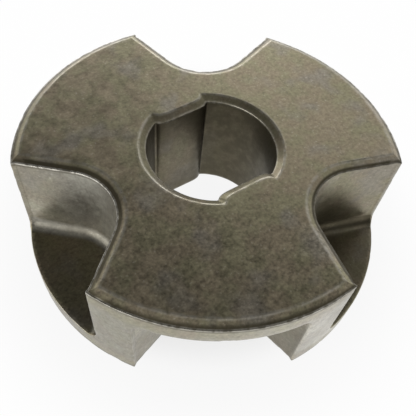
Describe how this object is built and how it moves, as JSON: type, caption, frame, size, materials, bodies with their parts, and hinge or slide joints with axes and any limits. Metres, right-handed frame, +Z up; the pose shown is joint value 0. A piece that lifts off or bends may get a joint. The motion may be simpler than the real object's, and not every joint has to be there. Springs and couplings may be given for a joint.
{
  "type": "chainsaw sprocket",
  "caption": "Flat round chain-drive sprocket of sintered steel: broad teeth, deep round-bottomed gaps open by turns through the upper and lower face, and a double-D bore.",
  "frame": {"origin": "centre of the lower face, on the bore's axis", "axes": "+Z up along the bore's axis, X along the two flats of the bore"},
  "size_m": [0.03, 0.03, 0.0102],
  "materials": {
    "sintered_steel": "pressed, sintered and steam-treated steel, dull grey-brown with a fine grain"
  },
  "bodies": {
    "root": {"sprocket": "sintered_steel"}
  },
  "joints": []
}
